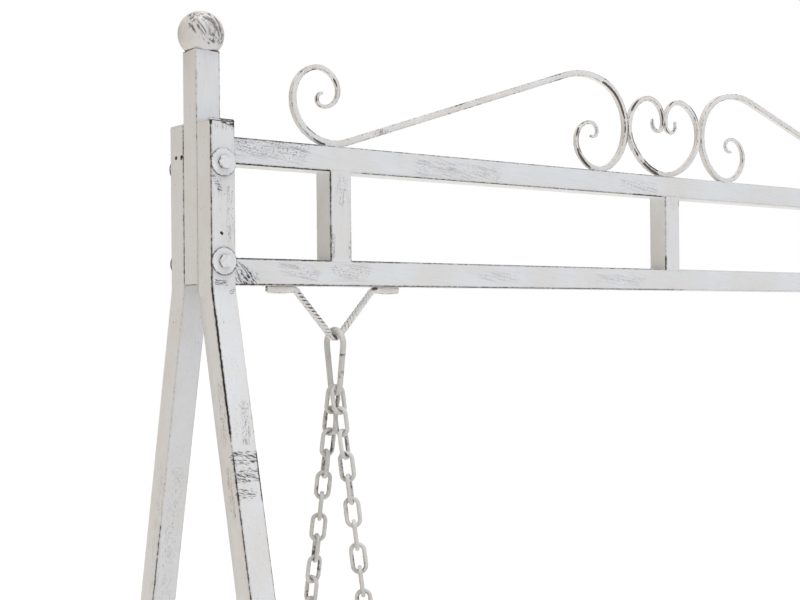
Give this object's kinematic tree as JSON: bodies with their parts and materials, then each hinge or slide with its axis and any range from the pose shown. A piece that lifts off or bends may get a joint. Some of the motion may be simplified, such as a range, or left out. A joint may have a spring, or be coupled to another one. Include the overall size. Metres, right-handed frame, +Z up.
{
  "type": "porch swing seat",
  "caption": "Free-standing garden swing: slatted bench on chains under an A-frame stand with ball-topped posts and a beam with scrolls and a heart.",
  "frame": {"origin": "on the ground under the middle of the beam, at the bottom centre of the whole object", "axes": "+X along the beam to the right end as seen from the front, -Y towards the front of the seat, +Z up"},
  "size_m": [1.54, 0.8418, 1.9005],
  "materials": {
    "white_iron": "satin antique white paint, brushed over with dark wear on edges and joints",
    "painted_bolts": "satin white paint over zinc-plated steel, dark at the edges",
    "painted_chain": "thin off-white paint over steel, dark where links touch",
    "cups": "matte off-white moulded plastic"
  },
  "bodies": {
    "stand": {"beam_top_rail": "white_iron", "beam_bottom_rail": "white_iron", "beam_posts": "white_iron", "end_post_left": "white_iron", "end_post_right": "white_iron", "ball_finial_left": "white_iron", "ball_finial_right": "white_iron", "beam_scroll_left": "white_iron", "beam_scroll_right": "white_iron", "beam_heart_left": "white_iron", "beam_heart_right": "white_iron", "hanger_left": "white_iron", "hanger_right": "white_iron", "leg_front_left": "white_iron", "leg_front_right": "white_iron", "leg_rear_left": "white_iron", "leg_rear_right": "white_iron", "leg_top_caps": "white_iron", "foot_cups": "cups", "spreader_left": "white_iron", "spreader_right": "white_iron", "spreader_caps": "white_iron", "beam_bolts": "painted_bolts", "spreader_bolts": "painted_bolts", "bolt_washers": "painted_bolts", "bolt_nuts": "painted_bolts"},
    "swing": {"carabiner_left": "painted_chain", "carabiner_right": "painted_chain", "gate_pins": "painted_chain", "chain_front_left": "painted_chain", "chain_front_right": "painted_chain", "chain_rear_left": "painted_chain", "chain_rear_right": "painted_chain", "chain_lugs": "white_iron", "seat_front_rail": "white_iron", "seat_rear_rail": "white_iron", "seat_side_rail_left": "white_iron", "seat_side_rail_right": "white_iron", "seat_ribs": "white_iron", "seat_slats": "white_iron", "seat_tube_caps": "white_iron", "back_post_left": "white_iron", "back_post_right": "white_iron", "back_top_rail": "white_iron", "back_middle_rail": "white_iron", "back_bottom_rail": "white_iron", "back_bars": "white_iron", "back_heart_left": "white_iron", "back_heart_right": "white_iron", "back_scroll_left": "white_iron", "back_scroll_right": "white_iron", "arm_left": "white_iron", "arm_right": "white_iron", "arm_post_left": "white_iron", "arm_post_right": "white_iron", "arm_curls": "white_iron", "side_scroll_left": "white_iron", "side_scroll_right": "white_iron"},
    "gate_left": {"gate_left": "painted_chain"},
    "gate_right": {"gate_right": "painted_chain"}
  },
  "joints": [
    {"name": "swing", "type": "hinge", "parent": "stand", "child": "swing", "pos_m": [0, 0, 1.5468], "axis": [1, 0, 0], "range_deg": [-25, 25]},
    {"name": "gate_left_open", "type": "hinge", "parent": "swing", "child": "gate_left", "pos_m": [-0.573, -0.01122, 1.5043], "axis": [-1, 0, 0], "range_deg": [0, 40], "stiffness_Nm_per_rad": 0.05, "springref_deg": -17.19},
    {"name": "gate_right_open", "type": "hinge", "parent": "swing", "child": "gate_right", "pos_m": [0.573, -0.01122, 1.5043], "axis": [-1, 0, 0], "range_deg": [0, 40], "stiffness_Nm_per_rad": 0.05, "springref_deg": -17.19}
  ]
}
